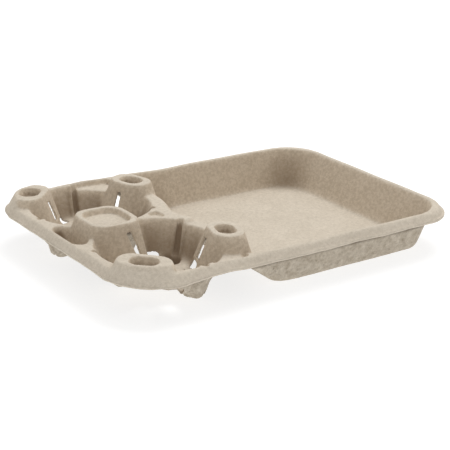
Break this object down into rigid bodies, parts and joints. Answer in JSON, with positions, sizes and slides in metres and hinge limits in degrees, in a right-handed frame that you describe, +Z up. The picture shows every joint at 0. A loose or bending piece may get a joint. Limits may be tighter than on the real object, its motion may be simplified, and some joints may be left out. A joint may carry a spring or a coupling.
{
  "type": "moulded-fibre cup carrier with food tray",
  "caption": "Shallow one-piece moulded-fibre carrier: cup wells with hollow gripping posts at one end, a food compartment at the other, and a flared skirt round the rim.",
  "frame": {"origin": "middle of the footprint, at the level of the feet that the carrier stands on", "axes": "+X along the length towards the food compartment, +Y across the width, +Z up out of the wells"},
  "size_m": [0.39, 0.26, 0.053],
  "materials": {
    "moulded_fibre": "matte, slightly rough, unbleached paper fibre"
  },
  "bodies": {
    "root": {"cup_carrier": "moulded_fibre"}
  },
  "joints": []
}
